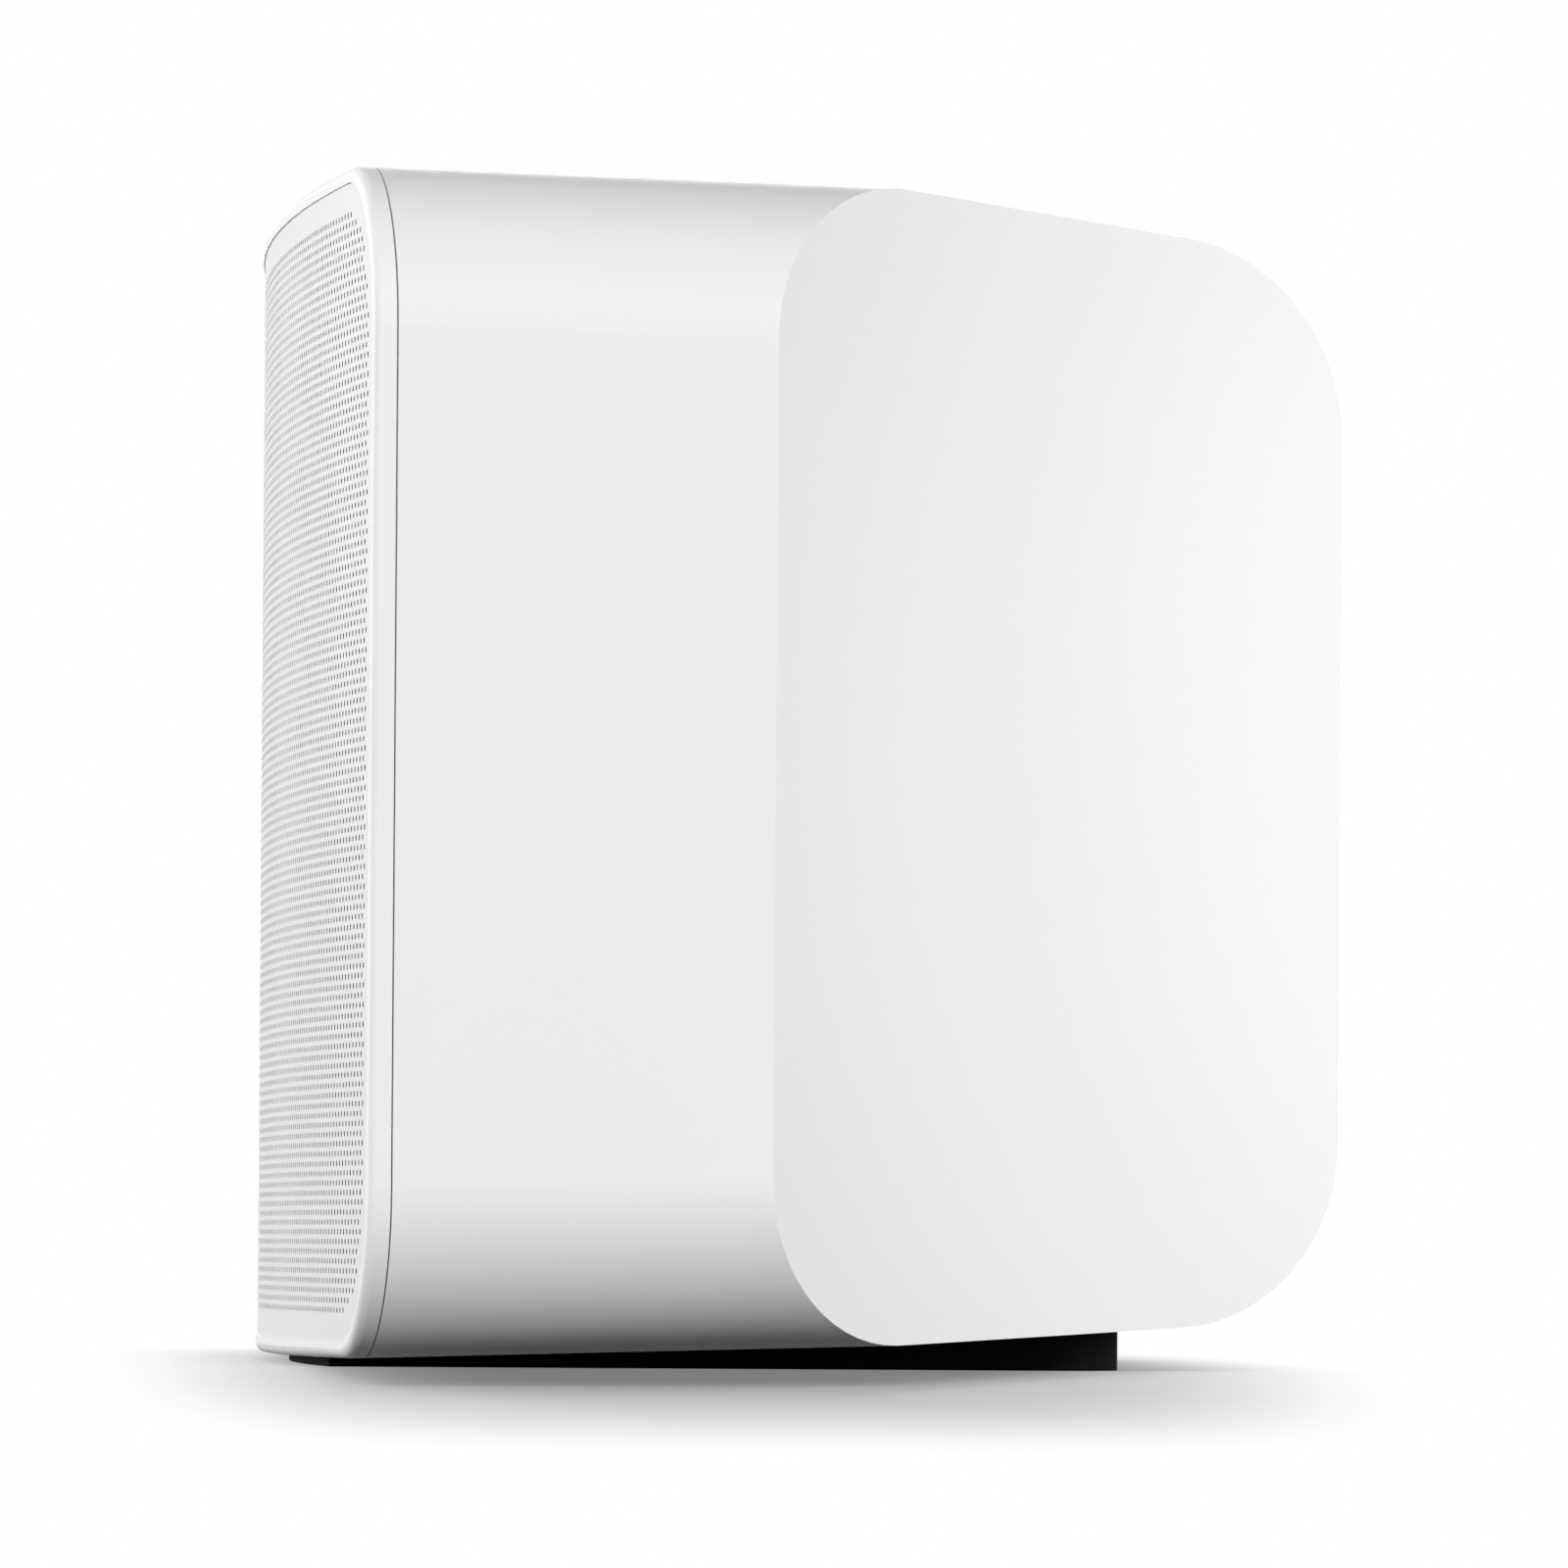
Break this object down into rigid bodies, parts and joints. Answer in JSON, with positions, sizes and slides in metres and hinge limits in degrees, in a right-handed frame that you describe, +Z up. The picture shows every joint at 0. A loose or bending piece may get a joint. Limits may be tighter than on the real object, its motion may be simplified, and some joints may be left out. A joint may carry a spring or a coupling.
{
  "type": "wireless speaker",
  "caption": "Wide shelf speaker: white cabinet with a bowed perforated front, slanted rear flanks, black foot, and a rear panel with sockets and a bass port.",
  "frame": {"origin": "on the surface it stands on, under the middle of the overall box", "axes": "-Y is the bowed front, +X the listener's right, +Z up"},
  "size_m": [0.42, 0.1854, 0.1984],
  "materials": {
    "shell_white": "satin moulded",
    "bezel_white": "satin moulded",
    "grille_white": "powder coated, perforated",
    "cloth_grey": "open weave",
    "foot_black": "matte",
    "panel_black": "fine grained",
    "touch_white": "gloss",
    "socket_black": "matte",
    "socket_steel": "plated",
    "button_grey": "satin",
    "screw_black": "black zinc",
    "board_green": "solder mask",
    "sink_aluminium": "extruded",
    "can_tin": "tin plate",
    "coil_yellow": "taped winding",
    "sleeve_blue": "shrink sleeve",
    "baffle_black": "moulded",
    "frame_black": "powder coated",
    "plate_steel": "zinc plated",
    "magnet_black": "sintered ferrite",
    "coil_copper": "enamelled winding",
    "cone_grey": "coated paper",
    "roll_black": "matte",
    "spider_amber": "treated cloth",
    "gasket_black": "foam"
  },
  "bodies": {
    "cabinet": {"antennas": "board_green", "baffle": "baffle_black", "baffle_screws": "screw_black", "base_foot": "foot_black", "board_screws": "screw_black", "cabinet_shell": "shell_white", "capacitors": "sleeve_blue", "driver_screws": "screw_black", "foot_screws": "screw_black", "front_bezel": "bezel_white", "front_grille": "grille_white", "grille_cloth": "cloth_grey", "heat_sink": "sink_aluminium", "inlet_pins": "socket_steel", "lan_jack": "socket_steel", "left_driver_frame": "frame_black", "left_driver_gasket": "gasket_black", "left_driver_magnet": "magnet_black", "left_driver_spider": "spider_amber", "left_driver_surround": "roll_black", "left_driver_top_plate": "plate_steel", "left_driver_yoke": "plate_steel", "line_jack": "socket_black", "main_board": "board_green", "mains_inlet": "socket_black", "pair_switch": "socket_black", "port_tube": "panel_black", "rear_panel": "panel_black", "rear_screws": "screw_black", "right_driver_frame": "frame_black", "right_driver_gasket": "gasket_black", "right_driver_magnet": "magnet_black", "right_driver_spider": "spider_amber", "right_driver_surround": "roll_black", "right_driver_top_plate": "plate_steel", "right_driver_yoke": "plate_steel", "supply_board": "board_green", "supply_coil": "coil_yellow", "touch_board": "board_green", "touch_panel": "touch_white", "usb_socket": "socket_steel", "wireless_module": "can_tin", "woofer_frame": "frame_black", "woofer_gasket": "gasket_black", "woofer_magnet": "magnet_black", "woofer_spider": "spider_amber", "woofer_surround": "roll_black", "woofer_top_plate": "plate_steel", "woofer_yoke": "plate_steel"},
    "woofer_piston": {"woofer_cone": "cone_grey", "woofer_dust_cap": "cone_grey", "woofer_coil": "coil_copper"},
    "left_driver_piston": {"left_driver_cone": "cone_grey", "left_driver_dust_cap": "cone_grey", "left_driver_coil": "coil_copper"},
    "right_driver_piston": {"right_driver_cone": "cone_grey", "right_driver_dust_cap": "cone_grey", "right_driver_coil": "coil_copper"},
    "pair_button": {"pair_button": "button_grey"}
  },
  "joints": [
    {"name": "woofer_travel", "type": "slide", "parent": "cabinet", "child": "woofer_piston", "axis": [0, -1, 0], "range_m": [-0.004, 0.004], "stiffness_N_per_m": 1500, "deforming": ["woofer_surround", "woofer_spider"]},
    {"name": "left_driver_travel", "type": "slide", "parent": "cabinet", "child": "left_driver_piston", "axis": [0, -1, 0], "range_m": [-0.002, 0.002], "stiffness_N_per_m": 1200, "deforming": ["left_driver_surround", "left_driver_spider"]},
    {"name": "right_driver_travel", "type": "slide", "parent": "cabinet", "child": "right_driver_piston", "axis": [0, -1, 0], "range_m": [-0.002, 0.002], "stiffness_N_per_m": 1200, "deforming": ["right_driver_surround", "right_driver_spider"]},
    {"name": "pair_button_press", "type": "slide", "parent": "cabinet", "child": "pair_button", "axis": [0, -1, 0], "range_m": [0, 0.0008], "stiffness_N_per_m": 600, "springref_m": -0.0005}
  ]
}
